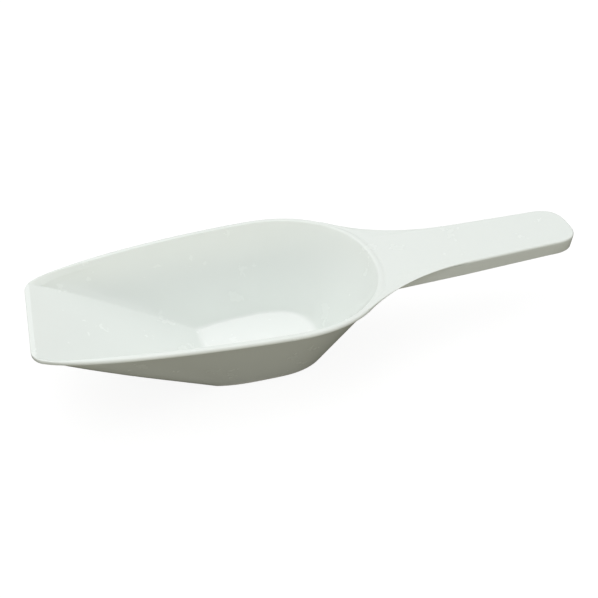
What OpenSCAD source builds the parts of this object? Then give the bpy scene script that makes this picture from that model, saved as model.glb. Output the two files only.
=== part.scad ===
// Moulded hand scoop for ice: a boat-shaped bowl with a pouring lip, a flat base to rest on
// and a flat handle that is hollow underneath. It is one rigid moulding, split here into its
// moulded features, which meet face to face.
// Millimetres. X runs from the lip to the end of the handle, Y is across, Z is up.
// The origin is the middle of the flat base's underside.
// Sizes along X are measured from the lip; module from_lip() moves a feature to the origin.

/* [Overall] */
// Length from the lip to the end of the handle
total_l = 300; // [290:1:315]
// Height of the handle's top above the base
total_h = 49; // [44:1:54]
// Thickness of the bowl's walls
wall_t = 2; // [1.6:0.1:2.4]

/* [Mouth] */
// Width over the rim at the widest place
mouth_w = 104; // [98:1:110]
// Distance from the lip to the widest place
mouth_mid_x = 126; // [122:1:130]
// Distance from the lip to the inner edge of the rim at the rear
mouth_end_x = 181.5; // [178:0.5:185]
// Squareness of the rear curve, where 2 is an ellipse
mouth_n = 2.2; // [2:0.1:2.4]
// Length of the straight part of the lip
lip_w = 48.2; // [44:0.2:52]
// Corner radius of the lip
lip_r = 10; // [8:0.5:12]
// Corner radius of the bowl's walls where they meet the lip's corners
crease_r = 1.2; // [1:0.1:2.4]
// Thickness of the lip's front edge
lip_t = 1.8; // [1.2:0.1:1.8]
// Angle at which the sides leave the lip's corners
side_angle = 30; // [26:1:34]

/* [Rim] */
// Width of the rim's top
rim_w = 3; // [2.6:0.1:3.4]
// Width of the rim's top beside the lip's corners
corner_w = 1.1; // [1:0.1:2]
// Depth of the rim and thickness of the handle's plate
rim_t = 2; // [1.8:0.1:2.4]
// How far the rim stands out past the wall
rim_over = 0.5; // [0.4:0.1:1]
// How far the sides of the rim rise above the lip and the handle
rim_crown = 1.2; // [0.6:0.1:1.6]

/* [Floor] */
// Thickness of the floor
floor_t = 2; // [1.6:0.1:2.4]
// Distance from the lip to the crease where the ramp meets the floor
floor_front_x = 88.3; // [84:0.1:92]
// Distance from the lip to the widest place of the floor
floor_mid_x = 122; // [118:1:126]
// Distance from the lip to the rear end of the floor
floor_end_x = 151.5; // [148:0.5:155]
// Width of the floor at the crease
floor_front_w = 44.6; // [42:0.1:47]
// Width of the floor at its widest
floor_w = 50.8; // [49:0.1:53]
// Squareness of the floor's rear curve
floor_n = 2.3; // [2:0.1:2.6]
// Corner radius of the floor at the crease
floor_r = 1.2; // [1:0.1:2]

/* [Handle] */
// Distance from the lip to the start of the parallel grip
grip_x = 230; // [224:1:236]
// Width of the grip at its start
grip_w = 35.8; // [34:0.2:38]
// Distance from the lip to the start of the rounded end
tip_x = 281; // [276:1:286]
// Width of the grip at the rounded end
tip_w = 32.4; // [30:0.2:34]
// Squareness of the rounded end
tip_n = 2.9; // [2.4:0.1:3.2]
// Depth of the handle's turned-down edge at the rounded end, from the top
skirt_h = 8.8; // [8:0.1:10]
// How much deeper the turned-down edge is at the start of the grip and under the flare
skirt_rise = 1; // [0:0.1:1.5]
// Thickness of the handle's turned-down edge
skirt_t = 2; // [1.8:0.1:2.4]

/* [Ribs] */
// Thickness of the ribs under the handle
rib_t = 1.6; // [1.4:0.1:2]
// Depth of the middle rib below the plate
spine_h = 5.6; // [4:0.1:6]
// Depth of the cross ribs below the plate
cross_h = 4.4; // [3:0.1:5]
// Distance from the lip to the first cross rib
cross_x = 204; // [200:1:208]
// Spacing of the cross ribs
cross_pitch = 19; // [17:1:20]
// Number of cross ribs
cross_n = 5; // [3:1:5]

/* [Hidden] */

// The half outline has corner_n, side_n and rear_n steps. The handle's flare leaves the rim at
// step flare_at, and the handle's turned-down edge meets the bowl at step web_at.
corner_n = 6;
side_n = 14;
rear_n = 18;
side_end = corner_n + side_n;
outline_end = side_end + rear_n;
flare_at = side_end + 8;
web_at = outline_end - 4;
flare_steps = 16;

// Lengths of the control arms of the curves along the mouth, the floor and the flare
side_arms = [28, 16];
floor_arms = [10, 14];
flare_arms = [15.5, 32];

// The ramp's slope sets how far its thickness reaches along X at the lip and at the base.
ramp_angle = atan((total_h - floor_t) / (floor_front_x - rim_w));
ramp_reach = wall_t / sin(ramp_angle);
ramp_foot = ramp_reach - wall_t / tan(ramp_angle);
// The ramp's outer face runs on in a straight line to the lower edge of the lip's front.
lip_over = -lip_t * (floor_front_x - ramp_foot) / (total_h - lip_t);
// How far the walls' outer faces stand outside the floor's outline at the base
wall_foot = 1.2;

base_x = (floor_front_x + floor_end_x) / 2;
plate_z = total_h - rim_t;
grip_slope = (tip_w - grip_w) / 2 / (tip_x - grip_x);

// A point along a cubic curve with control points a, b, c, d, and its direction there
function bezier(a, b, c, d, t) =
    pow(1 - t, 3) * a + 3 * pow(1 - t, 2) * t * b + 3 * (1 - t) * t * t * c + pow(t, 3) * d;
function bezier_way(a, b, c, d, t) =
    unit(pow(1 - t, 2) * (b - a) + 2 * (1 - t) * t * (c - b) + t * t * (d - c));
function unit(v) = v / norm(v);
// The normal on the right of a direction, which points into the outline
function right_of(v) = [v[1], -v[0]];
function polar(r, a) = [r * cos(a), r * sin(a)];
function superellipse(rx, ry, n, a) = [rx * pow(cos(a), 2 / n), ry * pow(sin(a), 2 / n)];

// Step i of the mouth's half outline, moved inward by d: the lip's corner, the side, the rear.
corner_c = [lip_r, lip_w / 2];
side_a = corner_c + polar(lip_r, 90 + side_angle);
side_b = side_a + polar(side_arms[0], side_angle);
side_c = [mouth_mid_x - side_arms[1], mouth_w / 2];
side_d = [mouth_mid_x, mouth_w / 2];
rear_l = mouth_end_x + rim_w - mouth_mid_x;
function mouth(i, d) =
    i <= corner_n ? corner_c + polar(lip_r - d, 180 - (90 - side_angle) * i / corner_n) :
    i <= side_end ? mouth_side((i - corner_n) / side_n, d) :
    [mouth_mid_x, 0] + superellipse(rear_l - d, mouth_w / 2 - d, mouth_n, rear_turn(i));
function mouth_side(t, d) =
    bezier(side_a, side_b, side_c, side_d, t)
    + d * right_of(bezier_way(side_a, side_b, side_c, side_d, t));
function rear_turn(i) = 90 * (outline_end - i) / rear_n;
// The half outline of a wall's face, moved inward by lip_d at the lip and by side_d elsewhere.
// It has tighter corners than the rim.
function wall_line(i, lip_d, side_d) =
    i <= corner_n ? wall_corner(i / corner_n, lip_d, side_d) : mouth(i, side_d);
function wall_corner(t, lip_d, side_d) =
    let (
        x = lip_d + crease_r,
        across = (x - side_a[0]) * sin(side_angle) - side_d - crease_r
    )
    [x, side_a[1] + across / cos(side_angle)] + polar(crease_r, 180 - (90 - side_angle) * t);
// Width of the rim's top at step i, which reaches its full width widen_n steps along the side
widen_n = 5;
function rim_width(i) = corner_w + (rim_w - corner_w) * eased((i - corner_n) / widen_n);
function eased(t) = let (s = max(0, min(1, t))) s * s * (3 - 2 * s);

// The same step of the floor's half outline, moved outward by e
foot_c = [floor_front_x + floor_r, floor_front_w / 2 - floor_r];
foot_a = foot_c + polar(floor_r, 90 + side_angle);
foot_b = foot_a + polar(floor_arms[0], side_angle / 2);
foot_d = [floor_mid_x, floor_w / 2];
foot_e = [floor_mid_x - floor_arms[1], floor_w / 2];
function foot(i, e) =
    i <= corner_n ? foot_c + polar(floor_r + e, 180 - (90 - side_angle) * i / corner_n) :
    i <= side_end ? foot_side((i - corner_n) / side_n, e) :
    [floor_mid_x, 0]
    + superellipse(floor_end_x - floor_mid_x + e, floor_w / 2 + e, floor_n, rear_turn(i));
function foot_side(t, e) =
    bezier(foot_a, foot_b, foot_e, foot_d, t)
    - e * right_of(bezier_way(foot_a, foot_b, foot_e, foot_d, t));

// 0 at the straight lip and 1 along the sides, turning over the lip's corner
function turn(i) = min(1, i / corner_n);
function blend(i, a, b) = a + (b - a) * turn(i);
// Height of the rim's top: a low arch from the lip to where the handle flares out
crown_l = mouth(flare_at, 0)[0];
function crown(x) = x < crown_l ? 4 * rim_crown * x / crown_l * (1 - x / crown_l) : 0;
function rim_top(i) = total_h + crown(mouth(i, 0)[0]);
function at_height(p, z) = [p[0], p[1], z];
// The point at height z on the line from low to high
function on_line(low, high, z) = low + (high - low) * (z - low[2]) / (high[2] - low[2]);

// Corner points of the bowl's section at step i
function inner_foot(i) = at_height(foot(i, 0), floor_t);
function inner_top(i) = at_height(wall_line(i, rim_w, rim_width(i)), rim_top(i));
function outer_foot(i) = at_height(foot(i, blend(i, ramp_foot, wall_foot)), 0);
function outer_top(i) = at_height(wall_line(i, lip_over, rim_over), rim_top(i));
function inner_seam(i) =
    on_line(inner_foot(i), inner_top(i), rim_top(i) - blend(i, lip_t, rim_t));
function outer_seam(i) = on_line(outer_foot(i), outer_top(i), rim_top(i) - rim_t);
function rim_low(i) = at_height(mouth(i, 0), rim_top(i) - blend(i, lip_t, rim_t));
function rim_high(i) = at_height(mouth(i, 0), rim_top(i));

function wall_section(i) =
    [inner_foot(i), inner_seam(i), outer_seam(i), outer_foot(i), at_height(foot(i, 0), 0)];
function rim_section(i) =
    [inner_seam(i), inner_top(i), rim_high(i), rim_low(i), outer_seam(i)];

// Sections of the left half are mirrored, with their points in the same order.
function mirrored(points) = [for (p = points) [p[0], -p[1], p[2]]];

// A closed solid through sections that all have the same number of points
module loft(sections) {
    n = len(sections[0]);
    last = len(sections) - 1;
    sides = [
        for (i = [0:last - 1])
            for (j = [0:n - 1])
                for (f = [[i * n + j, (i + 1) * n + j, (i + 1) * n + (j + 1) % n],
                          [i * n + j, (i + 1) * n + (j + 1) % n, i * n + (j + 1) % n]])
                    f
    ];
    // Solids that meet end to end have their ends cut into the same triangles.
    first_cap = [for (j = [1:n - 2]) [0, j, j + 1]];
    last_cap = [for (j = [1:n - 2]) [last * n, last * n + j + 1, last * n + j]];
    polyhedron([for (s = sections) for (p = s) p], concat(first_cap, sides, last_cap));
}

module from_lip() {
    translate([-base_x, 0, 0]) children();
}

module right_side() {
    mirror([0, 1, 0]) children();
}

// Bowl

module base_floor() {
    half = [for (i = [0:outline_end]) foot(i, 0)];
    other = [for (i = [outline_end - 1:-1:0]) [foot(i, 0)[0], -foot(i, 0)[1]]];
    color("white") from_lip() linear_extrude(floor_t) polygon(concat(half, other));
}

module front_ramp() {
    color("whitesmoke") from_lip() loft([mirrored(wall_section(0)), wall_section(0)]);
}

module side_wall() {
    from_lip() loft([for (i = [0:side_end]) wall_section(i)]);
}

module side_wall_left() {
    color("honeydew") side_wall();
}

module side_wall_right() {
    color("honeydew") right_side() side_wall();
}

module rear_wall() {
    left = [for (i = [side_end:outline_end]) wall_section(i)];
    right = [for (i = [outline_end - 1:-1:side_end]) mirrored(wall_section(i))];
    color("mintcream") from_lip() loft(concat(left, right));
}

// Rim

module pouring_lip() {
    color("white") from_lip() loft([mirrored(rim_section(0)), rim_section(0)]);
}

module rim_side() {
    from_lip() loft([for (i = [0:flare_at]) rim_section(i)]);
}

module rim_left() {
    color("azure") rim_side();
}

module rim_right() {
    color("azure") right_side() rim_side();
}

module rim_rear() {
    left = [for (i = [flare_at:outline_end]) rim_section(i)];
    right = [for (i = [outline_end - 1:-1:flare_at]) mirrored(rim_section(i))];
    color("ivory") from_lip() loft(concat(left, right));
}

// Handle

// Under the flare the turned-down edge runs straight on from the grip to this place on the rim.
web_end = mouth(web_at, 0);
web_start = [grip_x, grip_w / 2];
web_way = unit(web_end - web_start);
// Half width of the handle over its turned-down edge
function edge_half(x) =
    grip_w / 2 + (x - grip_x) * (x < grip_x ? web_way[1] / web_way[0] : grip_slope);
// How far the edge is carried on inside the bowl before the bowl is cut out of it
web_inset = 14;
// The edge's inner line, one skirt thickness further in
web_shift = skirt_t * [web_way[1], web_way[0]];

// The flare: from the rim's outer edge, past an inflection, into the grip's side
flare_a = mouth(flare_at, 0);
flare_b = flare_a + flare_arms[0] * unit(mouth(flare_at + 0.05, 0) - flare_a);
flare_c = web_start - flare_arms[1] * unit([1, grip_slope]);
function flare(k) = bezier(flare_a, flare_b, flare_c, web_start, k / flare_steps);

module plate(outline) {
    from_lip() translate([0, 0, plate_z]) linear_extrude(rim_t) polygon(outline);
}

module yoke_plate() {
    left = [for (i = [web_at:outline_end]) mouth(i, 0)];
    right = [for (i = [outline_end - 1:-1:web_at]) [mouth(i, 0)[0], -mouth(i, 0)[1]]];
    grip = [[grip_x, -grip_w / 2], [grip_x, grip_w / 2]];
    color("whitesmoke") plate(concat(left, right, grip));
}

module yoke_wing() {
    rim = [for (i = [flare_at:web_at]) mouth(i, 0)];
    edge = [for (k = [flare_steps:-1:1]) flare(k)];
    plate(concat(rim, edge));
}

module yoke_wing_left() {
    color("mintcream") yoke_wing();
}

module yoke_wing_right() {
    color("mintcream") right_side() yoke_wing();
}

// The space inside the bowl's outer faces, up to the top of the rim
module bowl_body() {
    steps = [
        for (i = [0:outline_end]) [outer_foot(i), outer_top(i)],
        for (i = [outline_end - 1:-1:0]) mirrored([outer_foot(i), outer_top(i)])
    ];
    n = len(steps);
    sides = [
        for (i = [0:n - 1])
            let (next = (i + 1) % n)
                for (f = [[2 * i + 1, 2 * i, 2 * next], [2 * i + 1, 2 * next, 2 * next + 1]])
                    f
    ];
    bottom = [for (i = [n - 1:-1:0]) 2 * i];
    top = [for (i = [0:n - 1]) 2 * i + 1];
    polyhedron([for (s = steps) for (p = s) p], concat([bottom, top], sides));
}

// A turned-down edge with the given outline, which hangs under the plate to a given depth
module edge_strip(outline, depth) {
    translate([0, 0, total_h - depth]) linear_extrude(depth - rim_t) polygon(outline);
}

module yoke_web() {
    inside = web_end + web_inset * web_way;
    from_lip() difference() {
        edge_strip(
            [inside, web_start, web_start + web_shift, inside + web_shift], skirt_h + skirt_rise);
        bowl_body();
    }
}

module yoke_web_left() {
    color("lightgray") yoke_web();
}

module yoke_web_right() {
    color("lightgray") right_side() yoke_web();
}

// Half outline of the rounded end, moved inward by d
tip_steps = 16;
function tip(k, d) =
    [tip_x, 0]
    + superellipse(total_l - tip_x - d, tip_w / 2 - d, tip_n, 90 * (1 - k / tip_steps));
function tip_half(d) = [for (k = [0:tip_steps]) tip(k, d)];
function tip_other(d) = [for (k = [tip_steps - 1:-1:0]) [tip(k, d)[0], -tip(k, d)[1]]];
function reversed(v) = [for (k = [len(v) - 1:-1:0]) v[k]];

module grip_plate() {
    start = [[grip_x, -grip_w / 2], web_start];
    color("white") plate(concat(start, tip_half(0), tip_other(0)));
}

// Section of the edge on the grip's left side at p, hanging to a given depth
function edge_section(p, depth) =
    let (inner = p - [0, skirt_t], low = total_h - depth)
        [at_height(p, low), at_height(inner, low), at_height(inner, plate_z), at_height(p, plate_z)];

module grip_skirt() {
    from_lip()
        loft([edge_section(web_start, skirt_h + skirt_rise), edge_section(tip(0, 0), skirt_h)]);
}

module grip_skirt_left() {
    color("gainsboro") grip_skirt();
}

module grip_skirt_right() {
    color("gainsboro") right_side() grip_skirt();
}

module grip_skirt_end() {
    outer = concat(tip_half(0), tip_other(0));
    inner = concat(tip_half(skirt_t), tip_other(skirt_t));
    color("gainsboro") from_lip() edge_strip(concat(outer, reversed(inner)), skirt_h);
}

// Ribs under the handle

module spine_rib() {
    color("lightgray") from_lip() difference() {
        translate([mouth_mid_x, -rib_t / 2, plate_z - spine_h])
            cube([total_l - skirt_t - mouth_mid_x, rib_t, spine_h]);
        bowl_body();
    }
}

// Each cross rib is two halves, one on each side of the middle rib.
module cross_rib(x) {
    reach = edge_half(x + rib_t / 2) - skirt_t;
    for (side = [-1, 1])
        translate([x, side * (rib_t / 2 + reach) / 2, plate_z - cross_h / 2])
            cube([rib_t, reach - rib_t / 2, cross_h], center = true);
}

module cross_ribs() {
    color("silver") from_lip()
        for (k = [0:cross_n - 1])
            cross_rib(cross_x + k * cross_pitch);
}

base_floor();
front_ramp();
side_wall_left();
side_wall_right();
rear_wall();
pouring_lip();
rim_left();
rim_right();
rim_rear();
yoke_plate();
yoke_wing_left();
yoke_wing_right();
yoke_web_left();
yoke_web_right();
grip_plate();
grip_skirt_left();
grip_skirt_right();
grip_skirt_end();
spine_rib();
cross_ribs();
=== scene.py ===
"""Ice scoop: the looks of a one-piece moulded hand scoop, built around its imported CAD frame.

Every moulded feature is its own closed piece. Pieces that meet share the same curve, the same
tangents and, after the seams are blended, the same normals, so the scoop shades as one moulding.
"""

import math

import bmesh
import bpy
from bpy.props import FloatProperty, FloatVectorProperty, IntProperty, PointerProperty
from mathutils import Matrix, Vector


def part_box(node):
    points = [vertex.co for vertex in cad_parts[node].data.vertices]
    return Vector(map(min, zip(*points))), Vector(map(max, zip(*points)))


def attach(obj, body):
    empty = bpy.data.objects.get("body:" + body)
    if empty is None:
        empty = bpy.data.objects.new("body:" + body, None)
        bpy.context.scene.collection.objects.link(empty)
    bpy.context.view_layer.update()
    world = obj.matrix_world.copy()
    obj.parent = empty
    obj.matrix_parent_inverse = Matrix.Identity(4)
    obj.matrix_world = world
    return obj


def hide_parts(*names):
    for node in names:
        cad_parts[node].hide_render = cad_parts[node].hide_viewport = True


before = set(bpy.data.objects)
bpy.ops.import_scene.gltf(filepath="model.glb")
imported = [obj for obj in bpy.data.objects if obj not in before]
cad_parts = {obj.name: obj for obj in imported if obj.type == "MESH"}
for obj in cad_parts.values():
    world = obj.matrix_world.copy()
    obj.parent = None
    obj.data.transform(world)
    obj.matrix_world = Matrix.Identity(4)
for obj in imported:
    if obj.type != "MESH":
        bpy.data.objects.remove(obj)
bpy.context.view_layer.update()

bl_info = {
    "name": "Ice scoop",
    "version": (1, 0, 0),
    "blender": (4, 5, 0),
    "location": "3D View > Sidebar > Scoop",
    "description": "Builds a moulded ice scoop with its bowl, rim, handle and ribs",
    "category": "Add Mesh",
}

MM = 0.001


# ---------------------------------------------------------------- sizes read from the frame

def low(node, axis):
    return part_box(node)[0][axis]


def high(node, axis):
    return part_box(node)[1][axis]


LIP_X = low("pouring_lip", 0)
MOUTH_HALF = high("rim_left", 1)
REAR_X = high("rim_rear", 0)
FLOOR_FRONT = low("base_floor", 0)
FLOOR_END = high("base_floor", 0)
FLOOR_HALF = high("base_floor", 1)
FLOOR_T = high("base_floor", 2)
PLATE_TOP = high("grip_plate", 2)
PLATE_LOW = low("grip_plate", 2)
GRIP_X = low("grip_plate", 0)
GRIP_HALF = high("grip_plate", 1)
TIP_X = low("grip_skirt_end", 0)
TIP_HALF = high("grip_skirt_end", 1)
END_X = high("grip_plate", 0)
SKIRT_LOW = low("grip_skirt_left", 2)
SKIRT_TIP_LOW = low("grip_skirt_end", 2)
SPINE_LOW = low("spine_rib", 2)
SPINE_HALF = high("spine_rib", 1)
CROSS_LOW = low("cross_ribs", 2)
CROSS_FIRST = low("cross_ribs", 0)
CROSS_LAST = high("cross_ribs", 0)
RIM_CROWN = high("rim_left", 2) - PLATE_TOP


def length(name, description, default, low_limit=0.0, high_limit=0.5):
    return FloatProperty(
        name=name, description=description, default=default,
        min=low_limit, max=high_limit, unit="LENGTH",
    )


class ScoopSizes(bpy.types.PropertyGroup):
    """Sizes that shape the pieces inside the frame's outlines."""

    wall: length("Wall", "Thickness of the bowl's walls", 2.0 * MM)
    rim_width: length("Rim width", "Width of the rim's top", 3.0 * MM)
    rim_depth: length("Rim depth", "Depth of the rim and of the handle's plate",
                      PLATE_TOP - PLATE_LOW)
    rim_over: length("Rim overhang", "How far the rim stands past the wall", 0.5 * MM)
    lip_width: length("Lip width", "Width of the lip's top", 2.5 * MM)
    lip_depth: length("Lip depth", "Thickness of the lip's front edge", 1.8 * MM)
    lip_radius: length("Lip corner", "Corner radius of the lip, outside", 10.0 * MM)
    corner_rim: length("Corner rim", "Width of the rim beside the lip's corners", 1.1 * MM)
    crease: length("Crease", "Corner radius where the ramp meets the sides", 1.0 * MM)
    bow_in: length("Bow inside", "How far the creases inside bow outward", 1.8 * MM)
    bow_out: length("Bow outside", "How far the creases outside bow outward", 2.2 * MM)
    mouth_edge: length("Mouth edge", "Rounding from the inner wall to the rim", 0.7 * MM)
    rear_edge: length("Rear mouth edge", "Rounding of the mouth below the handle", 1.6 * MM)
    rim_edge: length("Rim edge", "Rounding of the rim's outer edge", 1.5 * MM)
    bead: length("Bead", "How far the rim stands above the handle's plate", 0.6 * MM)
    floor_edge: length("Floor edge", "Fillet between floor and walls at the front", 1.5 * MM)
    floor_rear_edge: length("Floor rear edge", "Fillet between floor and rear wall", 9.0 * MM)
    base_edge: length("Base edge", "Rounding round the base at the front", 1.6 * MM)
    base_rear_edge: length("Base rear edge", "Rounding round the base at the rear", 4.5 * MM)
    grip_edge: length("Grip edge", "Rounding of the handle's top edge", 1.2 * MM)
    skirt: length("Skirt", "Thickness of the handle's turned-down edge", 2.0 * MM)
    skirt_draft: length("Draft", "How far the turned-down edge leans in", 0.5 * MM)
    wing_drop: length("Wing drop", "How far the flare's edge falls below the plate", 0.35 * MM)
    wing_taper: length("Wing taper", "How much thinner the flare is at its edge", 0.8 * MM)
    cross_ribs: IntProperty(
        name="Cross ribs", description="Number of ribs across the handle", default=5,
        min=2, max=8)


class ScoopFinish(bpy.types.PropertyGroup):
    """Colours and surface of the moulded plastic."""

    colour: FloatVectorProperty(
        name="Plastic", description="Colour of the white plastic", subtype="COLOR",
        size=3, min=0.0, max=1.0, default=(0.868, 0.902, 0.876))
    colour_deep: FloatVectorProperty(
        name="Plastic, cloudy", description="Colour where the plastic is cloudier",
        subtype="COLOR", size=3, min=0.0, max=1.0, default=(0.860, 0.896, 0.868))
    # Painted light: a whiter colour painted near the bowl's floor, for light that shines through
    # the plastic there.
    colour_floor_painted_light: FloatVectorProperty(
        name="Plastic on the base", description="Colour where the base lies on a white surface",
        subtype="COLOR", size=3, min=0.0, max=1.0, default=(0.965, 0.985, 0.97))
    roughness: FloatProperty(
        name="Roughness", description="Roughness of the smooth moulded skin",
        default=0.26, min=0.0, max=1.0)


class ScoopStage(bpy.types.PropertyGroup):
    """Floor, lights and camera."""

    lens: FloatProperty(
        name="Lens", description="Focal length on a 36 mm wide sensor", default=54.2,
        min=20.0, max=200.0)
    distance: length("Distance", "From the camera to the place it looks at", 458.4 * MM,
                     0.1, 2.0)
    azimuth: FloatProperty(
        name="Azimuth", description="Turn of the camera about the scoop", default=-16.63,
        min=-180.0, max=180.0)
    elevation: FloatProperty(
        name="Elevation", description="Height angle of the camera", default=39.2,
        min=0.0, max=90.0)
    floor: FloatVectorProperty(
        name="Floor", description="Colour of the floor", subtype="COLOR", size=3,
        min=0.0, max=1.0, default=(0.18, 0.18, 0.18))
    bounce: FloatVectorProperty(
        name="Bounce", description="Colour of the light that the floor throws back",
        subtype="COLOR", size=3, min=0.0, max=1.0, default=(0.10, 0.095, 0.065))


# ---------------------------------------------------------------- curves in plan

# Steps of the half outline: 0 to 1 turns the lip's corner, 1 to 2 is the side and 2 to 3 is
# the rear, up to the middle of the back.
CORNER, SIDE, REAR = 1.0, 2.0, 3.0
FLARE_AT = 2.0 + 8.0 / 18.0
WEB_AT = 3.0 - 4.0 / 18.0
# How far past FLARE_AT the rim goes on changing into the bead behind the bowl
BEAD_RUN = 0.3
SIDE_ANGLE = 30.0
# Half of the lip's straight edge. The lip's box is wider, since it holds the walls' corners too.
LIP_HALF = 24.1 * MM
MOUTH_MID = LIP_X + 126.0 * MM
MOUTH_N = 2.2
SIDE_ARMS = (28.0 * MM, 16.0 * MM)
FLOOR_MID = LIP_X + 122.0 * MM
FLOOR_FRONT_HALF = 22.3 * MM
FLOOR_CORNER = 1.2 * MM
FLOOR_N = 2.3
FLOOR_ARMS = (10.0 * MM, 14.0 * MM)
FLARE_ARMS = (15.5 * MM, 32.0 * MM)
TIP_N = 2.9
# From the plate's side seam to the line where the turned-down edge runs
WING_SEAM = 3.0 * MM


def polar(radius, degrees):
    a = math.radians(degrees)
    return Vector((radius * math.cos(a), radius * math.sin(a)))


def superellipse(rx, ry, n, degrees):
    a = math.radians(degrees)
    return Vector((rx * max(math.cos(a), 0.0) ** (2 / n), ry * max(math.sin(a), 0.0) ** (2 / n)))


def bezier(a, b, c, d, t):
    s = 1 - t
    return s ** 3 * a + 3 * s * s * t * b + 3 * s * t * t * c + t ** 3 * d


def bezier_way(a, b, c, d, t):
    s = 1 - t
    return (s * s * (b - a) + 2 * s * t * (c - b) + t * t * (d - c)).normalized()


def rightward(way):
    return Vector((way.y, -way.x))


def mix(a, b, t):
    return a + (b - a) * t


def ramp(x, start, end):
    """0 before start, 1 after end, and smooth between them."""
    t = min(1.0, max(0.0, (x - start) / (end - start)))
    return t * t * (3 - 2 * t)


def mouth_side_curve(sizes):
    centre = Vector((LIP_X + sizes.lip_radius, LIP_HALF))
    a = centre + polar(sizes.lip_radius, 90 + SIDE_ANGLE)
    b = a + polar(SIDE_ARMS[0], SIDE_ANGLE)
    d = Vector((MOUTH_MID, MOUTH_HALF))
    return a, b, d - Vector((SIDE_ARMS[1], 0)), d


def mouth(sizes, u, inward):
    """The mouth's outline at step u, moved inward."""
    if u <= CORNER:
        centre = Vector((LIP_X + sizes.lip_radius, LIP_HALF))
        return centre + polar(sizes.lip_radius - inward, 180 - (90 - SIDE_ANGLE) * u)
    if u <= SIDE:
        curve = mouth_side_curve(sizes)
        return bezier(*curve, u - 1) + inward * rightward(bezier_way(*curve, u - 1))
    turn = 90 * (REAR - u)
    return Vector((MOUTH_MID, 0)) + superellipse(
        REAR_X - MOUTH_MID - inward, MOUTH_HALF - inward, MOUTH_N, turn)


def wall_line(sizes, u, lip_in, side_in):
    """The outline of a wall's face at step u, with its tight corner beside the lip."""
    if u > CORNER:
        return mouth(sizes, u, side_in)
    start, angle = mouth_side_curve(sizes)[0], math.radians(SIDE_ANGLE)
    x = LIP_X + lip_in + sizes.crease
    across = (x - start.x) * math.sin(angle) - side_in - sizes.crease
    centre = Vector((x, start.y + across / math.cos(angle)))
    return centre + polar(sizes.crease, 180 - (90 - SIDE_ANGLE) * u)


def foot(u, outward):
    """The floor's outline at step u, moved outward."""
    centre = Vector((FLOOR_FRONT + FLOOR_CORNER, FLOOR_FRONT_HALF - FLOOR_CORNER))
    if u <= CORNER:
        return centre + polar(FLOOR_CORNER + outward, 180 - (90 - SIDE_ANGLE) * u)
    if u <= SIDE:
        a = centre + polar(FLOOR_CORNER, 90 + SIDE_ANGLE)
        b = a + polar(FLOOR_ARMS[0], SIDE_ANGLE / 2)
        d = Vector((FLOOR_MID, FLOOR_HALF))
        curve = (a, b, d - Vector((FLOOR_ARMS[1], 0)), d)
        return bezier(*curve, u - 1) - outward * rightward(bezier_way(*curve, u - 1))
    turn = 90 * (REAR - u)
    return Vector((FLOOR_MID, 0)) + superellipse(
        FLOOR_END - FLOOR_MID + outward, FLOOR_HALF + outward, FLOOR_N, turn)


def steps(start, end, count):
    return [start + (end - start) * i / count for i in range(count + 1)]


CORNER_STEPS = steps(0.0, CORNER, 10)
SIDE_STEPS = steps(CORNER, SIDE, 30)
REAR_STEPS = steps(SIDE, REAR, 45)
HALF_STEPS = CORNER_STEPS + SIDE_STEPS[1:] + REAR_STEPS[1:]


def between(start, end):
    return [u for u in HALF_STEPS if start - 1e-6 <= u <= end + 1e-6]


def mirrored(points):
    return [Vector((p[0], -p[1], *p[2:])) for p in points]


# ---------------------------------------------------------------- sections in height

# How far below the rim's top a wall ends, at the lip and along the sides
SEAM_DROP_LIP, SEAM_DROP = 1.0 * MM, 3.0 * MM
# Radii in millimetres of the rim's soft lower edges, at the lip and along the sides
LOW_EDGE_LIP, LOW_EDGE = 0.15, 0.35
UNDER_EDGE_LIP, UNDER_EDGE = 0.2, 0.3
# Places up a wall where its face gets a point, from the floor to the rim's seam
FACE_STEPS = (0.2, 0.35, 0.5, 0.62, 0.74, 0.85, 0.93, 0.97)
BEAD_STEPS = (0.5, 0.6, 0.7, 0.8, 0.9)
LEAST_ROUNDING = 0.12 * MM


def lifted(p, z):
    return Vector((p.x, p.y, z))


def at_height(a, b, z):
    """The point at height z on the line through a and b."""
    return a + (b - a) * ((z - a.z) / (b.z - a.z))


def rounded(before, corner, after, radius, count, share=0.45):
    """Points of an arc that rounds a corner, from the side of before to the side of after."""
    back = (before - corner).normalized()
    on = (after - corner).normalized()
    bend = math.pi - back.angle(on, math.pi)
    reach = max(radius * math.tan(bend / 2), LEAST_ROUNDING)
    reach = min(reach, share * (before - corner).length, share * (after - corner).length)
    start, end, weight = corner + back * reach, corner + on * reach, math.cos(bend / 2)
    points = []
    for i in range(count + 1):
        t = i / count
        parts = ((1 - t) ** 2, 2 * t * (1 - t) * weight, t * t)
        points.append((start * parts[0] + corner * parts[1] + end * parts[2]) / sum(parts))
    return points


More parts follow.
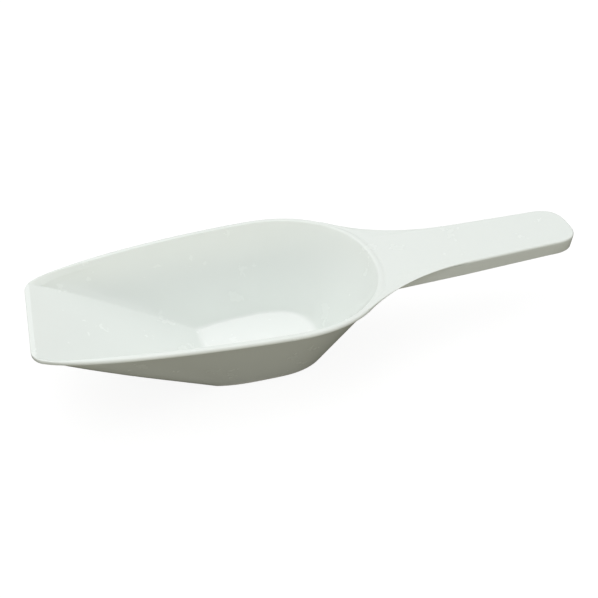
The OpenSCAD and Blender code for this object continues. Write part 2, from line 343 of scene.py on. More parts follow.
class Section:
    """The bowl's corner points at step u, from the floor up the inside and down the outside."""

    def __init__(self, sizes, u):
        self.sizes, self.u = sizes, u
        side = min(1.0, u)
        slope = math.atan2(PLATE_TOP - FLOOR_T, FLOOR_FRONT - LIP_X - sizes.rim_width)
        ramp_reach = sizes.wall / math.sin(slope)
        ramp_foot = ramp_reach - sizes.wall / math.tan(slope)
        ramp_length = FLOOR_FRONT - ramp_foot - LIP_X
        lip_over = -sizes.lip_depth * ramp_length / (PLATE_TOP - sizes.lip_depth)
        outer = mouth(sizes, u, 0)
        crown_end = mouth(sizes, FLARE_AT, 0).x - LIP_X
        share = min(1.0, (outer.x - LIP_X) / crown_end)
        self.top = PLATE_TOP + 4 * RIM_CROWN * share * (1 - share)
        inner = foot(u, 0)
        rim_width = mix(sizes.corner_rim, sizes.rim_width, ramp(u, CORNER, 1.35))
        self.inner_foot = lifted(inner, FLOOR_T)
        self.inner_top = lifted(wall_line(sizes, u, sizes.lip_width, rim_width), self.top)
        self.outer_foot = lifted(foot(u, mix(ramp_foot, 1.2 * MM, side)), 0)
        outer_top = lifted(wall_line(sizes, u, lip_over, sizes.rim_over), self.top)
        drop = mix(sizes.lip_depth, sizes.rim_depth, side)
        self.rim_high = lifted(outer, self.top)
        self.rim_low = lifted(outer, self.top - drop)
        self.under = at_height(self.outer_foot, outer_top, self.top - sizes.rim_depth)
        self.seam_in = at_height(
            self.inner_foot, self.inner_top, self.top - mix(SEAM_DROP_LIP, SEAM_DROP, side))
        self.seam_out = at_height(self.outer_foot, outer_top, self.top - SEAM_DROP)
        middle = Vector((mix(FLOOR_FRONT, FLOOR_END, 0.4), 0))
        flat = mix(inner, middle, 0.45)
        self.floor_in = lifted(flat, FLOOR_T)
        self.floor_out = lifted(flat, 0)
        self.fillet = mix(sizes.floor_edge, sizes.floor_rear_edge, ramp(u, 2.1, REAR))
        self.outer_fillet = mix(sizes.base_edge, sizes.base_rear_edge, ramp(u, 1.0, 2.3))

    def bowed(self, foot_end, seam_end, bow):
        """Points up a face, which swells sideways below the lip's corners."""
        reach = bow * (1 - ramp(self.u, CORNER, 1.4))
        points = []
        for t in FACE_STEPS:
            p = mix(foot_end, seam_end, t)
            p.y += reach * math.sin(math.pi * (1 - t) ** 0.6)
            points.append(p)
        return points

    def wall(self):
        """The wall, with its fillets to the floor."""
        return (
            [self.floor_in]
            + rounded(self.floor_in, self.inner_foot, self.seam_in, self.fillet, 10)
            + self.bowed(self.inner_foot, self.seam_in, self.sizes.bow_in)
            + [self.seam_in, self.seam_out]
            + self.bowed(self.outer_foot, self.seam_out, self.sizes.bow_out)[::-1]
            + rounded(self.seam_out, self.outer_foot, self.floor_out, self.outer_fillet, 10)
            + [self.floor_out]
        )

    def rim(self):
        """The free rim, rounded on both edges."""
        s, side = self.sizes, min(1.0, self.u)
        edge = mix(s.mouth_edge, s.rear_edge, ramp(self.u, SIDE, FLARE_AT))
        return (
            [self.seam_in]
            + rounded(self.seam_in, self.inner_top, self.rim_high, mix(0.4 * MM, edge, side), 8)
            + rounded(self.inner_top, self.rim_high, self.rim_low,
                      mix(0.6 * MM, s.rim_edge, side), 8, 0.72)
            + rounded(self.rim_high, self.rim_low, self.under,
                      mix(LOW_EDGE_LIP, LOW_EDGE, side) * MM, 3, 0.25)
            + rounded(self.rim_low, self.under, self.seam_out,
                      mix(UNDER_EDGE_LIP, UNDER_EDGE, side) * MM, 3)
            + [self.seam_out]
        )

    def rear_rim(self):
        """The rim where the handle's plate carries on from it, as a low bead."""
        edge_high, edge_low = rim_seam(self.sizes, self.u)
        level = lifted(edge_high, self.top)
        fall = level.z - edge_high.z
        bead = []
        for t in BEAD_STEPS:
            p = mix(self.inner_top, level, t)
            p.z -= fall * ramp(t, 0.4, 1.0)
            bead.append(p)
        return (
            [self.seam_in]
            + rounded(self.seam_in, self.inner_top, level, self.sizes.rear_edge, 8)
            + bead
            + [edge_high, edge_low]
            + rounded(edge_low, self.under, self.seam_out, 0.3 * MM, 3)
            + [self.seam_out]
        )


def bead_fall(sizes, u):
    """How far the handle's plate lies below the rim's top at step u."""
    return sizes.bead * ramp(u, FLARE_AT, FLARE_AT + BEAD_RUN)


def settle(sizes, x):
    """How far the handle's top lies below the level of the rim at x."""
    return sizes.bead * min(1.0, (END_X - x) / (END_X - GRIP_X))


def seam_line(sizes, u):
    """Plan of the line where the plate or a wing starts beside the rim."""
    return mouth(sizes, u, mix(2.1, -0.8, ramp(u, FLARE_AT, FLARE_AT + BEAD_RUN)) * MM)


def rim_seam(sizes, u):
    """The upper and lower ends of the seam between the rim and the handle."""
    p = seam_line(sizes, u)
    return lifted(p, PLATE_TOP - bead_fall(sizes, u)), lifted(p, PLATE_LOW)


# ---------------------------------------------------------------- modelling helpers

PIECES = []
FORM = "_form"
SMOOTH_BELOW = 32
# Two seam points closer than this are taken as one, and normals within the angle are blended
SAME_PLACE = 0.01 * MM
ALIKE_WITHIN = 20


def start_afresh():
    if bpy.context.mode != "OBJECT":
        bpy.ops.object.mode_set(mode="OBJECT")
    bpy.ops.object.select_all(action="DESELECT")


def named(name):
    """The object that an operator has just added, renamed."""
    piece = bpy.context.active_object
    piece.name = name
    piece.data.name = name
    return piece


def form(node):
    """The object just added, named as the form that stands for a CAD node."""
    return named(node + FORM)


def edit(piece):
    start_afresh()
    piece.select_set(True)
    bpy.context.view_layer.objects.active = piece
    bpy.ops.object.mode_set(mode="EDIT")
    bpy.ops.mesh.select_mode(type="VERT")
    return bmesh.from_edit_mesh(piece.data)


def close(piece):
    """Leaves edit mode with the mesh merged, its open ends filled and its faces outward."""
    bpy.ops.mesh.select_all(action="SELECT")
    bpy.ops.mesh.remove_doubles(threshold=1e-7)
    bpy.ops.mesh.select_all(action="DESELECT")
    bpy.ops.mesh.select_non_manifold(extend=False)
    bpy.ops.mesh.fill_holes(sides=0)
    bpy.ops.mesh.select_all(action="SELECT")
    bpy.ops.mesh.normals_make_consistent(inside=False)
    bpy.ops.object.mode_set(mode="OBJECT")
    return piece


def swept(name, sections, strip_ends=False):
    """A closed solid through closed sections that all have the same number of points.

    With strip_ends, each end is a strip of faces between the section's two long sides.
    """
    start_afresh()
    across, along = len(sections[0]), len(sections)
    bpy.ops.mesh.primitive_grid_add(
        x_subdivisions=across, y_subdivisions=along - 1, size=2.0, location=(0, 0, 0))
    piece = form(name)
    mesh = edit(piece)
    mesh.verts.ensure_lookup_table()
    for j, section in enumerate(sections):
        for i in range(across + 1):
            mesh.verts[j * (across + 1) + i].co = section[i % across]
    if strip_ends:
        for row in (0, along - 1):
            ring = mesh.verts[row * (across + 1):row * (across + 1) + across]
            for i in range(across // 2 - 1):
                mesh.faces.new((ring[i], ring[i + 1], ring[across - 2 - i], ring[across - 1 - i]))
    bmesh.update_edit_mesh(piece.data)
    return close(piece)


def slab(name, outline, top, bottom):
    """A flat plate with a given outline."""
    start_afresh()
    bpy.ops.mesh.primitive_circle_add(
        vertices=len(outline), radius=1.0, fill_type="NGON", location=(0, 0, 0))
    piece = form(name)
    mesh = edit(piece)
    mesh.verts.ensure_lookup_table()
    for vertex, p in zip(mesh.verts, outline):
        vertex.co = (p.x, p.y, top)
    bmesh.update_edit_mesh(piece.data)
    bpy.ops.mesh.select_all(action="SELECT")
    bpy.ops.mesh.extrude_region_move(
        TRANSFORM_OT_translate={"value": (0, 0, bottom - top)})
    return close(piece)


def bevel_where(piece, wanted, width, segments):
    """Bevels the edges for which wanted(a, b) is true."""
    mesh = edit(piece)
    bpy.ops.mesh.select_all(action="DESELECT")
    bpy.ops.mesh.select_mode(type="EDGE")
    for e in mesh.edges:
        e.select_set(wanted(e.verts[0].co, e.verts[1].co))
    bmesh.update_edit_mesh(piece.data)
    bpy.ops.mesh.bevel(
        offset=width, offset_type="OFFSET", segments=segments, profile=0.5,
        clamp_overlap=True)
    bpy.ops.object.mode_set(mode="OBJECT")


def smooth(piece, weighted=False):
    start_afresh()
    piece.select_set(True)
    bpy.context.view_layer.objects.active = piece
    bpy.ops.object.shade_smooth_by_angle(angle=math.radians(SMOOTH_BELOW))
    if weighted:
        bpy.ops.object.modifier_add(type="WEIGHTED_NORMAL")
        piece.modifiers[-1].keep_sharp = True
        bpy.ops.object.modifier_apply(modifier=piece.modifiers[-1].name)


def deliver(piece, material):
    """Puts a finished piece in the place of the CAD node of the same name."""
    piece.data.materials.clear()
    piece.data.materials.append(material)
    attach(piece, "root")
    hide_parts(piece.name.removesuffix(FORM))
    PIECES.append(piece)


# ---------------------------------------------------------------- the plastic

def plastic(finish):
    """White moulded polypropylene: slightly cloudy, softly glossy, with faint handling marks and
    painted light near the bowl's floor.
    """
    name = "moulded_plastic"
    if name in bpy.data.materials:
        return bpy.data.materials[name]
    material = bpy.data.materials.new(name)
    material.use_nodes = True
    nodes, links = material.node_tree.nodes, material.node_tree.links
    shader = nodes["Principled BSDF"]
    shader.inputs["IOR"].default_value = 1.49
    shader.inputs["Specular IOR Level"].default_value = 0.5
    place = nodes.new("ShaderNodeTexCoord")

    def noise(scale, detail, roughness=0.5):
        node = nodes.new("ShaderNodeTexNoise")
        node.inputs["Scale"].default_value = scale
        node.inputs["Detail"].default_value = detail
        node.inputs["Roughness"].default_value = roughness
        links.new(place.outputs["Object"], node.inputs["Vector"])
        return node

    cloud = noise(scale=28.0, detail=3.0)
    blend = nodes.new("ShaderNodeMix")
    blend.data_type = "RGBA"
    blend.inputs["A"].default_value = (*finish.colour, 1)
    blend.inputs["B"].default_value = (*finish.colour_deep, 1)
    links.new(cloud.outputs["Fac"], blend.inputs["Factor"])
    # Painted light: the plastic is painted whiter near the bowl's floor, standing in for light
    # that shines through it where the base lies on a table.
    height = nodes.new("ShaderNodeSeparateXYZ")
    links.new(place.outputs["Object"], height.inputs["Vector"])
    floor_painted_light_mask = nodes.new("ShaderNodeMapRange")
    floor_painted_light_mask.interpolation_type = "SMOOTHSTEP"
    floor_painted_light_mask.inputs["From Min"].default_value = FLOOR_T + 2.2 * MM
    floor_painted_light_mask.inputs["From Max"].default_value = FLOOR_T
    links.new(height.outputs["Z"], floor_painted_light_mask.inputs["Value"])
    painted_light_mix = nodes.new("ShaderNodeMix")
    painted_light_mix.data_type = "RGBA"
    painted_light_mix.inputs["B"].default_value = (*finish.colour_floor_painted_light, 1)
    links.new(floor_painted_light_mask.outputs["Result"], painted_light_mix.inputs["Factor"])
    links.new(blend.outputs["Result"], painted_light_mix.inputs["A"])
    links.new(painted_light_mix.outputs["Result"], shader.inputs["Base Color"])

    sheen_map = nodes.new("ShaderNodeMapRange")
    sheen_map.inputs["From Min"].default_value = 0.3
    sheen_map.inputs["From Max"].default_value = 0.7
    sheen_map.inputs["To Min"].default_value = finish.roughness - 0.015
    sheen_map.inputs["To Max"].default_value = finish.roughness + 0.02
    grain = noise(scale=60.0, detail=4.0, roughness=0.6)
    links.new(grain.outputs["Fac"], sheen_map.inputs["Value"])
    links.new(sheen_map.outputs["Result"], shader.inputs["Roughness"])

    skin = nodes.new("ShaderNodeBump")
    skin.inputs["Strength"].default_value = 0.03
    skin.inputs["Distance"].default_value = 0.0001
    links.new(noise(scale=500.0, detail=1.0).outputs["Fac"], skin.inputs["Height"])
    links.new(skin.outputs["Normal"], shader.inputs["Normal"])
    return material


# ---------------------------------------------------------------- operators, one per feature

class PieceOperator(bpy.types.Operator):
    """Base of the operators that make pieces."""

    bl_options = {"REGISTER", "UNDO"}

    def execute(self, context):
        self.build(context.scene.scoop_sizes, plastic(context.scene.scoop_finish))
        return {"FINISHED"}


def wall_sections(sizes, start, end):
    return [Section(sizes, u).wall() for u in between(start, end)]


def both_halves(sections):
    """A run of sections that reaches the middle, followed by its mirror image."""
    return sections + [mirrored(s) for s in sections[-2::-1]]


class SCOOP_OT_base_floor(PieceOperator):
    """The flat floor that the scoop stands on"""

    bl_idname = "scoop.base_floor"
    bl_label = "Base floor"

    def build(self, sizes, material):
        half = [Section(sizes, u).floor_in for u in HALF_STEPS]
        outline = half + mirrored(half)[-2::-1]
        piece = slab("base_floor", outline, FLOOR_T, 0.0)
        smooth(piece, weighted=True)
        deliver(piece, material)


class SCOOP_OT_front_ramp(PieceOperator):
    """The flat panel that slopes up from the floor to the lip"""

    bl_idname = "scoop.front_ramp"
    bl_label = "Front ramp"

    def build(self, sizes, material):
        edge = Section(sizes, 0.0).wall()
        other = mirrored(edge)
        inset = [[mix(a, b, t) for a, b in zip(edge, other)] for t in (0.02, 0.5, 0.98)]
        piece = swept("front_ramp", [edge, *inset, other], strip_ends=True)
        smooth(piece)
        deliver(piece, material)


class SCOOP_OT_side_walls(PieceOperator):
    """The two sloping sides of the bowl"""

    bl_idname = "scoop.side_walls"
    bl_label = "Side walls"

    def build(self, sizes, material):
        left = wall_sections(sizes, 0.0, SIDE)
        for name, sections in (
            ("side_wall_left", left),
            ("side_wall_right", [mirrored(s) for s in left]),
        ):
            piece = swept(name, sections, strip_ends=True)
            smooth(piece)
            deliver(piece, material)


class SCOOP_OT_rear_wall(PieceOperator):
    """The rounded back of the bowl"""

    bl_idname = "scoop.rear_wall"
    bl_label = "Rear wall"

    def build(self, sizes, material):
        sections = both_halves(wall_sections(sizes, SIDE, REAR))
        piece = swept("rear_wall", sections, strip_ends=True)
        smooth(piece)
        deliver(piece, material)


class SCOOP_OT_pouring_lip(PieceOperator):
    """The thin straight edge that ice slides over"""

    bl_idname = "scoop.pouring_lip"
    bl_label = "Pouring lip"

    def build(self, sizes, material):
        edge = Section(sizes, 0.0).rim()
        other = mirrored(edge)
        inset = [[mix(a, b, t) for a, b in zip(edge, other)] for t in (0.02, 0.5, 0.98)]
        piece = swept("pouring_lip", [edge, *inset, other])
        smooth(piece)
        deliver(piece, material)


class SCOOP_OT_rims(PieceOperator):
    """The rim along both sides and round the back of the mouth"""

    bl_idname = "scoop.rims"
    bl_label = "Rims"

    def build(self, sizes, material):
        left = [Section(sizes, u).rim() for u in between(0.0, FLARE_AT)]
        rear = [Section(sizes, u).rear_rim() for u in between(FLARE_AT, REAR)]
        for name, sections in (
            ("rim_left", left),
            ("rim_right", [mirrored(s) for s in left]),
            ("rim_rear", both_halves(rear)),
        ):
            piece = swept(name, sections)
            smooth(piece)
            deliver(piece, material)


def grip_way():
    """The way that the grip's side runs, towards its tip."""
    return Vector((TIP_X - GRIP_X, TIP_HALF - GRIP_HALF)).normalized()


def flare(sizes, t):
    """The flare's edge, from the mouth to the grip."""
    a = mouth(sizes, FLARE_AT, 0)
    way = (mouth(sizes, FLARE_AT + 0.003, 0) - a).normalized()
    d = Vector((GRIP_X, GRIP_HALF))
    return bezier(a, a + FLARE_ARMS[0] * way, d - FLARE_ARMS[1] * grip_way(), d, t)


def wing_seam_step(sizes):
    """The rear step at which the plate's side seam meets the rim."""
    y = mouth(sizes, WEB_AT, 0).y - WING_SEAM
    return max(
        steps(WEB_AT, REAR, 200), key=lambda u: -abs(seam_line(sizes, u).y - y))


class SCOOP_OT_yoke_plate(PieceOperator):
    """The flat middle of the plate that joins the mouth to the grip"""

    bl_idname = "scoop.yoke_plate"
    bl_label = "Yoke plate"

    def build(self, sizes, material):
        arc = [seam_line(sizes, u) for u in steps(wing_seam_step(sizes), REAR, 12)]
        grip = Vector((GRIP_X, GRIP_HALF - WING_SEAM))
        half = [grip] + arc
        outline = half + mirrored(half)[-2::-1]
        piece = slab("yoke_plate", outline, PLATE_TOP - sizes.bead, PLATE_LOW)
        smooth(piece, weighted=True)
        deliver(piece, material)


class SCOOP_OT_yoke_wings(PieceOperator):
    """The two flared wings beside the plate, which fall and thin towards their edges"""

    bl_idname = "scoop.yoke_wings"
    bl_label = "Yoke wings"

    def section(self, sizes, inner, edge, share):
        swell = math.sin(math.pi * share) ** 0.7 if 0 < share < 1 else 0.0
        top = inner.z - sizes.wing_drop * swell
        lower = PLATE_LOW + sizes.wing_taper * swell
        plan = inner.to_2d()
        width = (edge - plan).length
        ridge = mix(plan, edge, min(0.5, WING_SEAM / width))
        tops = [
            inner,
            lifted(mix(plan, ridge, 0.5), inner.z),
            lifted(ridge, inner.z + 0.08 * MM * swell),
            lifted(mix(ridge, edge, 0.2), mix(inner.z, top, 0.2)),
        ]
        corner_high, corner_low = lifted(edge, top), lifted(edge, lower)
        lows = [lifted(ridge, PLATE_LOW), lifted(plan, PLATE_LOW)]
        return (
            tops
            + rounded(tops[-1], corner_high, corner_low,
                      mix(sizes.rim_edge, sizes.grip_edge, share), 8, 0.72)
            + rounded(corner_high, corner_low, lows[0], 0.35 * MM, 3, 0.25)
            + lows
        )

    def build(self, sizes, material):
        on_rim = [
            rim_seam(sizes, u)[0] for u in steps(FLARE_AT, wing_seam_step(sizes), 24)]
        grip = Vector((GRIP_X, GRIP_HALF - WING_SEAM, PLATE_TOP - sizes.bead))
        inner = on_rim + [mix(on_rim[-1], grip, t) for t in steps(0, 1, 16)[1:]]
        shares = steps(0, 1, len(inner) - 1)
        left = [
            self.section(sizes, p, flare(sizes, t), t) for p, t in zip(inner, shares)
        ]
        for name, sections in (
            ("yoke_wing_left", left),
            ("yoke_wing_right", [mirrored(s) for s in left]),
        ):
            piece = swept(name, sections)
            smooth(piece)
            deliver(piece, material)


def skirt_section(sizes, outer, inward):
    """A turned-down edge that leans in, with a rounded lower edge."""
    along = min(1.0, max(0.0, (outer.x - GRIP_X) / (TIP_X - GRIP_X)))
    bottom = mix(SKIRT_LOW, SKIRT_TIP_LOW, along)
    lean = inward * sizes.skirt_draft
    high_out, low_out = lifted(outer, PLATE_LOW), lifted(outer + lean, bottom)
    inner = outer + inward * sizes.skirt
    high_in = lifted(inner + lean * 1.4, PLATE_LOW)
    low_in = lifted(inner + lean * 0.6, bottom)
    return (
        [high_out, mix(high_out, low_out, 0.1)]
        + rounded(high_out, low_out, low_in, 0.6 * MM, 4)
        + rounded(low_out, low_in, high_in, 0.5 * MM, 3)
        + [high_in]
    )


class SCOOP_OT_yoke_webs(PieceOperator):
    """The turned-down edge where it runs on under the flare to the rear wall"""

    bl_idname = "scoop.yoke_webs"
    bl_label = "Yoke webs"

    def build(self, sizes, material):
        start = Vector((GRIP_X, GRIP_HALF))
        end = mouth(sizes, WEB_AT, 0)
        way = (end - start).normalized()
        inward = Vector((0, -1))
        # The web's lower edge meets the wall further forward than its upper edge.
        back = skirt_section(sizes, start, inward)
        slope = rear_slope()
        front = []
        for p in skirt_section(sizes, end, inward):
            reach = (PLATE_TOP - p.z) * slope + 2.0 * MM
            front.append(p + Vector((way.x, way.y, 0)) * reach)
        for name, sections in (
            ("yoke_web_left", [back, front]),
            ("yoke_web_right", [mirrored(back), mirrored(front)]),
        ):
            piece = swept(name, sections)
            smooth(piece, weighted=True)
            deliver(piece, material)


def rear_slope():
    """How far the rear wall runs forward for each unit that it goes down."""
    return (REAR_X - FLOOR_END) / PLATE_TOP


def tip_half(inward, count=24):
    return [
        Vector((TIP_X, 0)) + superellipse(
            END_X - TIP_X - inward, TIP_HALF - inward, TIP_N, 90 * (1 - i / count))
        for i in range(count + 1)
    ]


class SCOOP_OT_grip_plate(PieceOperator):
    """The flat top of the handle, with a rounded upper edge"""

    bl_idname = "scoop.grip_plate"
    bl_label = "Grip plate"

    def build(self, sizes, material):
        half = [Vector((GRIP_X, GRIP_HALF))] + tip_half(0)
        outline = half + mirrored(half)[-2::-1]
        piece = slab("grip_plate", outline, PLATE_TOP, PLATE_LOW)

        def top_edge(a, b):
            on_top = min(a.z, b.z) > PLATE_TOP - 1e-6
            at_seam = max(a.x, b.x) < GRIP_X + 1e-6
            return on_top and not at_seam

        bevel_where(piece, top_edge, sizes.grip_edge, 6)
        mesh = edit(piece)
        for v in mesh.verts:
            if v.co.z > PLATE_LOW + 0.1 * MM:
                v.co.z -= settle(sizes, v.co.x)
        bmesh.update_edit_mesh(piece.data)
        bpy.ops.object.mode_set(mode="OBJECT")
        smooth(piece, weighted=True)
        deliver(piece, material)


class SCOOP_OT_grip_skirts(PieceOperator):
    """The turned-down edge along both sides and round the end of the grip"""

    bl_idname = "scoop.grip_skirts"
    bl_label = "Grip skirts"

    def build(self, sizes, material):
        inward = Vector((0, -1))
        ends = (Vector((GRIP_X, GRIP_HALF)), Vector((TIP_X, TIP_HALF)))
        left = [skirt_section(sizes, p, inward) for p in ends]
        curve, inset = tip_half(0), tip_half(1.0 * MM)
        end = [
            skirt_section(sizes, p, (q - p) / MM) for p, q in zip(curve, inset)
        ]
        for name, sections in (
            ("grip_skirt_left", left),
            ("grip_skirt_right", [mirrored(s) for s in left]),
            ("grip_skirt_end", both_halves(end)),
        ):
            piece = swept(name, sections)
            smooth(piece, weighted=len(sections) == 2)
            deliver(piece, material)


def edge_half(sizes, x):
    """Half the handle's width over its turned-down edge."""
    if x > GRIP_X:
        return mix(GRIP_HALF, TIP_HALF, (x - GRIP_X) / (TIP_X - GRIP_X))
    end = mouth(sizes, WEB_AT, 0)
    return mix(GRIP_HALF, end.y, (GRIP_X - x) / (GRIP_X - end.x))


def rib(name, corners, top, bottom):
    """A rib with a rounded lower edge, from the outline of its top."""
    piece = slab(name, corners, top, bottom)
    bevel_where(piece, lambda a, b: max(a.z, b.z) < bottom + 1e-6, 0.35 * MM, 3)
    return piece


class SCOOP_OT_spine_rib(PieceOperator):
    """The rib along the middle of the handle's underside"""

    bl_idname = "scoop.spine_rib"
    bl_label = "Spine rib"

    def build(self, sizes, material):
        front = REAR_X - 1.0 * MM - (PLATE_TOP - PLATE_LOW) * rear_slope()
        back = END_X - sizes.skirt
        corners = [Vector((x, y)) for x, y in (
            (front, -SPINE_HALF), (back, -SPINE_HALF), (back, SPINE_HALF), (front, SPINE_HALF))]
        piece = rib("spine_rib", corners, PLATE_LOW, SPINE_LOW)
        mesh = edit(piece)
        for v in mesh.verts:
            if v.co.x < front + 2.0 * MM:
                v.co.x -= (PLATE_LOW - v.co.z) * rear_slope() + 1.0 * MM
        bmesh.update_edit_mesh(piece.data)
        bpy.ops.object.mode_set(mode="OBJECT")
        smooth(piece, weighted=True)
        deliver(piece, material)


class SCOOP_OT_cross_ribs(PieceOperator):
    """The short ribs across the handle's underside"""

    bl_idname = "scoop.cross_ribs"
    bl_label = "Cross ribs"

    def build(self, sizes, material):
        rib_t = 2 * SPINE_HALF
        pitch = (CROSS_LAST - CROSS_FIRST - rib_t) / (sizes.cross_ribs - 1)
        halves = []
        for k in range(sizes.cross_ribs):
            x = CROSS_FIRST + k * pitch
            reach = edge_half(sizes, x + rib_t) - 0.8 * sizes.skirt
            for side in (-1, 1):
                corners = [Vector(p) for p in (
                    (x, side * SPINE_HALF), (x + rib_t, side * SPINE_HALF),
                    (x + rib_t, side * reach), (x, side * reach))]
                halves.append(rib(f"cross_rib_{k}_{side}", corners, PLATE_LOW, CROSS_LOW))
        start_afresh()
        for piece in halves:
            piece.select_set(True)
        bpy.context.view_layer.objects.active = halves[0]
        bpy.ops.object.join()
        piece = form("cross_ribs")
        smooth(piece, weighted=True)
        deliver(piece, material)


class SCOOP_OT_blend_seams(bpy.types.Operator):
    """Gives pieces that meet the same normals along their seams, as one moulding has"""

    bl_idname = "scoop.blend_seams"
    bl_label = "Blend seams"

    def execute(self, context):
        alike = math.cos(math.radians(ALIKE_WITHIN))
        corners = {}
        normals = []
        for k, piece in enumerate(PIECES):
            mesh = piece.data
            own = [n.vector.copy() for n in mesh.corner_normals]
            normals.append(own)
            for face in mesh.polygons:
                for index in face.loop_indices:
                    p = mesh.vertices[mesh.loops[index].vertex_index].co
                    key = tuple(round(c / SAME_PLACE) for c in p)
                    corners.setdefault(key, []).append((k, index, own[index], face.area))
        for group in corners.values():
            if len({entry[0] for entry in group}) < 2:
                continue
            for k, index, normal, _ in group:
                total = Vector((0, 0, 0))
                for _, _, other, area in group:
                    if other.dot(normal) > alike:
                        total += other * area
                normals[k][index] = total.normalized()
        for piece, own in zip(PIECES, normals):
            piece.data.normals_split_custom_set(own)
        return {"FINISHED"}


# ---------------------------------------------------------------- the stage

BOWL_MIDDLE = (0, 0, 0.03)
# Each light's name, place, target, size, power and colour
LIGHTS = (
    ("overhead", (-0.25, 0.16, 1.15), BOWL_MIDDLE, (1.3, 1.1), 4.9, (1, 1, 1)),
    ("back_softbox", (-0.25, 0.87, 0.80), BOWL_MIDDLE, (0.75, 0.5), 0.8, (1, 1, 1)),
    ("handle_side", (0.95, 0.3, 0.85), BOWL_MIDDLE, (0.6, 0.6), 0.95, (1, 1, 1)),
    ("front_fill", (0.0, -1.2, 0.15), (0, 0, 0.04), (1.7, 0.35), 2.7, (1.0, 0.955, 0.81)),
)
FLOOR_SIZE = 8.0
FLOOR_GLOW = 0.89
SKY_LOW, SKY_HIGH = (0.58, 0.55, 0.43, 1), (0.98, 1.0, 0.99, 1)
SKY_HIGH_AT = 0.45
SKY_STRENGTH = 0.64
WHITE = (1, 1, 1, 1)
SENSOR = 36.0
AIM = Vector((LIP_X + 133.6 * MM, -22.8 * MM, PLATE_TOP))


def area_light(name, place, target, size, power, colour):
    light = bpy.data.lights.new(name, "AREA")
    light.shape = "RECTANGLE"
    light.size, light.size_y = size
    light.energy = power
    light.color = colour
    lamp = bpy.data.objects.new(name, light)
    bpy.context.scene.collection.objects.link(lamp)
    lamp.location = place
    lamp.rotation_euler = (Vector(target) - Vector(place)).to_track_quat("-Z", "Y").to_euler()


class SCOOP_OT_stage(bpy.types.Operator):
    """A pale floor, soft lights and the camera"""

    bl_idname = "scoop.stage"
    bl_label = "Stage"

    def execute(self, context):
        stage = context.scene.scoop_stage
        self.floor(stage)
        self.lights(context)
        self.camera(context, stage)
        context.scene.view_settings.view_transform = "Standard"
        return {"FINISHED"}

    def floor(self, stage):
        start_afresh()
        bpy.ops.mesh.primitive_plane_add(size=FLOOR_SIZE, location=(0, 0, 0))
        floor = named("floor")
        material = bpy.data.materials.new("floor_paint")
        material.use_nodes = True
        nodes, links = material.node_tree.nodes, material.node_tree.links
        shader = nodes["Principled BSDF"]
        shader.inputs["Roughness"].default_value = 0.9
        shader.inputs["Specular IOR Level"].default_value = 0.0
        shader.inputs["Base Color"].default_value = (*stage.floor, 1)
        shader.inputs["Emission Color"].default_value = WHITE
        shader.inputs["Emission Strength"].default_value = FLOOR_GLOW
        # The floor looks white, but throws back only a little light onto the scoop.
        dim = nodes.new("ShaderNodeBsdfDiffuse")
        dim.inputs["Color"].default_value = (*stage.bounce, 1)
        seen = nodes.new("ShaderNodeLightPath")
        shade = nodes.new("ShaderNodeMixShader")
        links.new(seen.outputs["Is Camera Ray"], shade.inputs["Fac"])
        links.new(dim.outputs["BSDF"], shade.inputs[1])
        links.new(shader.outputs["BSDF"], shade.inputs[2])
        links.new(shade.outputs["Shader"], nodes["Material Output"].inputs["Surface"])
        floor.data.materials.append(material)

    def sky(self, context):
        """An even white studio, a little dimmer and warmer near the floor."""
        world = bpy.data.worlds.new("studio")
        world.use_nodes = True
        nodes, links = world.node_tree.nodes, world.node_tree.links
        background = nodes["Background"]
        place = nodes.new("ShaderNodeTexCoord")
        height = nodes.new("ShaderNodeSeparateXYZ")
        links.new(place.outputs["Generated"], height.inputs["Vector"])
        tones = nodes.new("ShaderNodeValToRGB")
        tones.color_ramp.elements[0].position = 0.0
        tones.color_ramp.elements[0].color = SKY_LOW
        tones.color_ramp.elements[1].position = SKY_HIGH_AT
        tones.color_ramp.elements[1].color = SKY_HIGH
        links.new(height.outputs["Z"], tones.inputs["Fac"])
        links.new(tones.outputs["Color"], background.inputs["Color"])
        background.inputs["Strength"].default_value = SKY_STRENGTH
        white = nodes.new("ShaderNodeBackground")
        white.inputs["Color"].default_value = WHITE
        white.inputs["Strength"].default_value = 1.0
        seen = nodes.new("ShaderNodeLightPath")
        shade = nodes.new("ShaderNodeMixShader")
        links.new(seen.outputs["Is Camera Ray"], shade.inputs["Fac"])
        links.new(background.outputs["Background"], shade.inputs[1])
        links.new(white.outputs["Background"], shade.inputs[2])
        links.new(shade.outputs["Shader"], nodes["World Output"].inputs["Surface"])
        context.scene.world = world

    def lights(self, context):
        self.sky(context)
        for light in LIGHTS:
            area_light(*light)

    def camera(self, context, stage):
        data = bpy.data.cameras.new("camera")
        data.lens = stage.lens
        data.sensor_width = SENSOR
        data.clip_start = 0.01
        camera = bpy.data.objects.new("camera", data)
        context.scene.collection.objects.link(camera)
        a, e = math.radians(stage.azimuth), math.radians(stage.elevation)
        back = Vector((
            math.sin(a) * math.cos(e), -math.cos(a) * math.cos(e), math.sin(e)))
        camera.location = AIM + back * stage.distance
        camera.rotation_euler = (math.pi / 2 - e, 0, a)
        context.scene.camera = camera


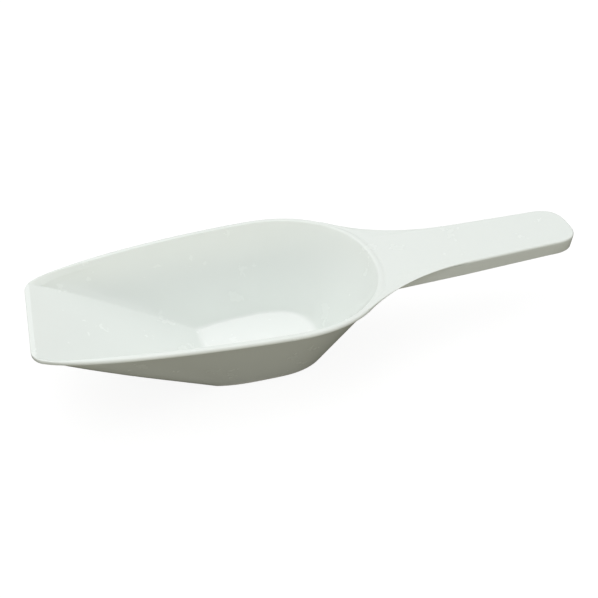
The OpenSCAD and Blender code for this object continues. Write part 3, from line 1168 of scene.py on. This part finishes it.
class SCOOP_PT_panel(bpy.types.Panel):
    """Lists the steps that build the scoop"""

    bl_idname = "SCOOP_PT_panel"
    bl_label = "Ice scoop"
    bl_space_type = "VIEW_3D"
    bl_region_type = "UI"
    bl_category = "Scoop"

    def draw(self, context):
        for cls in MAKERS:
            self.layout.operator(cls.bl_idname)


MAKERS = (
    SCOOP_OT_base_floor,
    SCOOP_OT_front_ramp,
    SCOOP_OT_side_walls,
    SCOOP_OT_rear_wall,
    SCOOP_OT_pouring_lip,
    SCOOP_OT_rims,
    SCOOP_OT_yoke_plate,
    SCOOP_OT_yoke_wings,
    SCOOP_OT_yoke_webs,
    SCOOP_OT_grip_plate,
    SCOOP_OT_grip_skirts,
    SCOOP_OT_spine_rib,
    SCOOP_OT_cross_ribs,
    SCOOP_OT_blend_seams,
    SCOOP_OT_stage,
)
CLASSES = (ScoopSizes, ScoopFinish, ScoopStage, *MAKERS, SCOOP_PT_panel)


def register():
    for cls in CLASSES:
        bpy.utils.register_class(cls)
    bpy.types.Scene.scoop_sizes = PointerProperty(type=ScoopSizes)
    bpy.types.Scene.scoop_finish = PointerProperty(type=ScoopFinish)
    bpy.types.Scene.scoop_stage = PointerProperty(type=ScoopStage)


def unregister():
    del bpy.types.Scene.scoop_stage
    del bpy.types.Scene.scoop_finish
    del bpy.types.Scene.scoop_sizes
    for cls in reversed(CLASSES):
        bpy.utils.unregister_class(cls)


def main():
    register()
    bpy.ops.scoop.base_floor()
    bpy.ops.scoop.front_ramp()
    bpy.ops.scoop.side_walls()
    bpy.ops.scoop.rear_wall()
    bpy.ops.scoop.pouring_lip()
    bpy.ops.scoop.rims()
    bpy.ops.scoop.yoke_plate()
    bpy.ops.scoop.yoke_wings()
    bpy.ops.scoop.yoke_webs()
    bpy.ops.scoop.grip_plate()
    bpy.ops.scoop.grip_skirts()
    bpy.ops.scoop.spine_rib()
    bpy.ops.scoop.cross_ribs()
    bpy.ops.scoop.blend_seams()
    bpy.ops.scoop.stage()


if __name__ == "__main__":
    main()
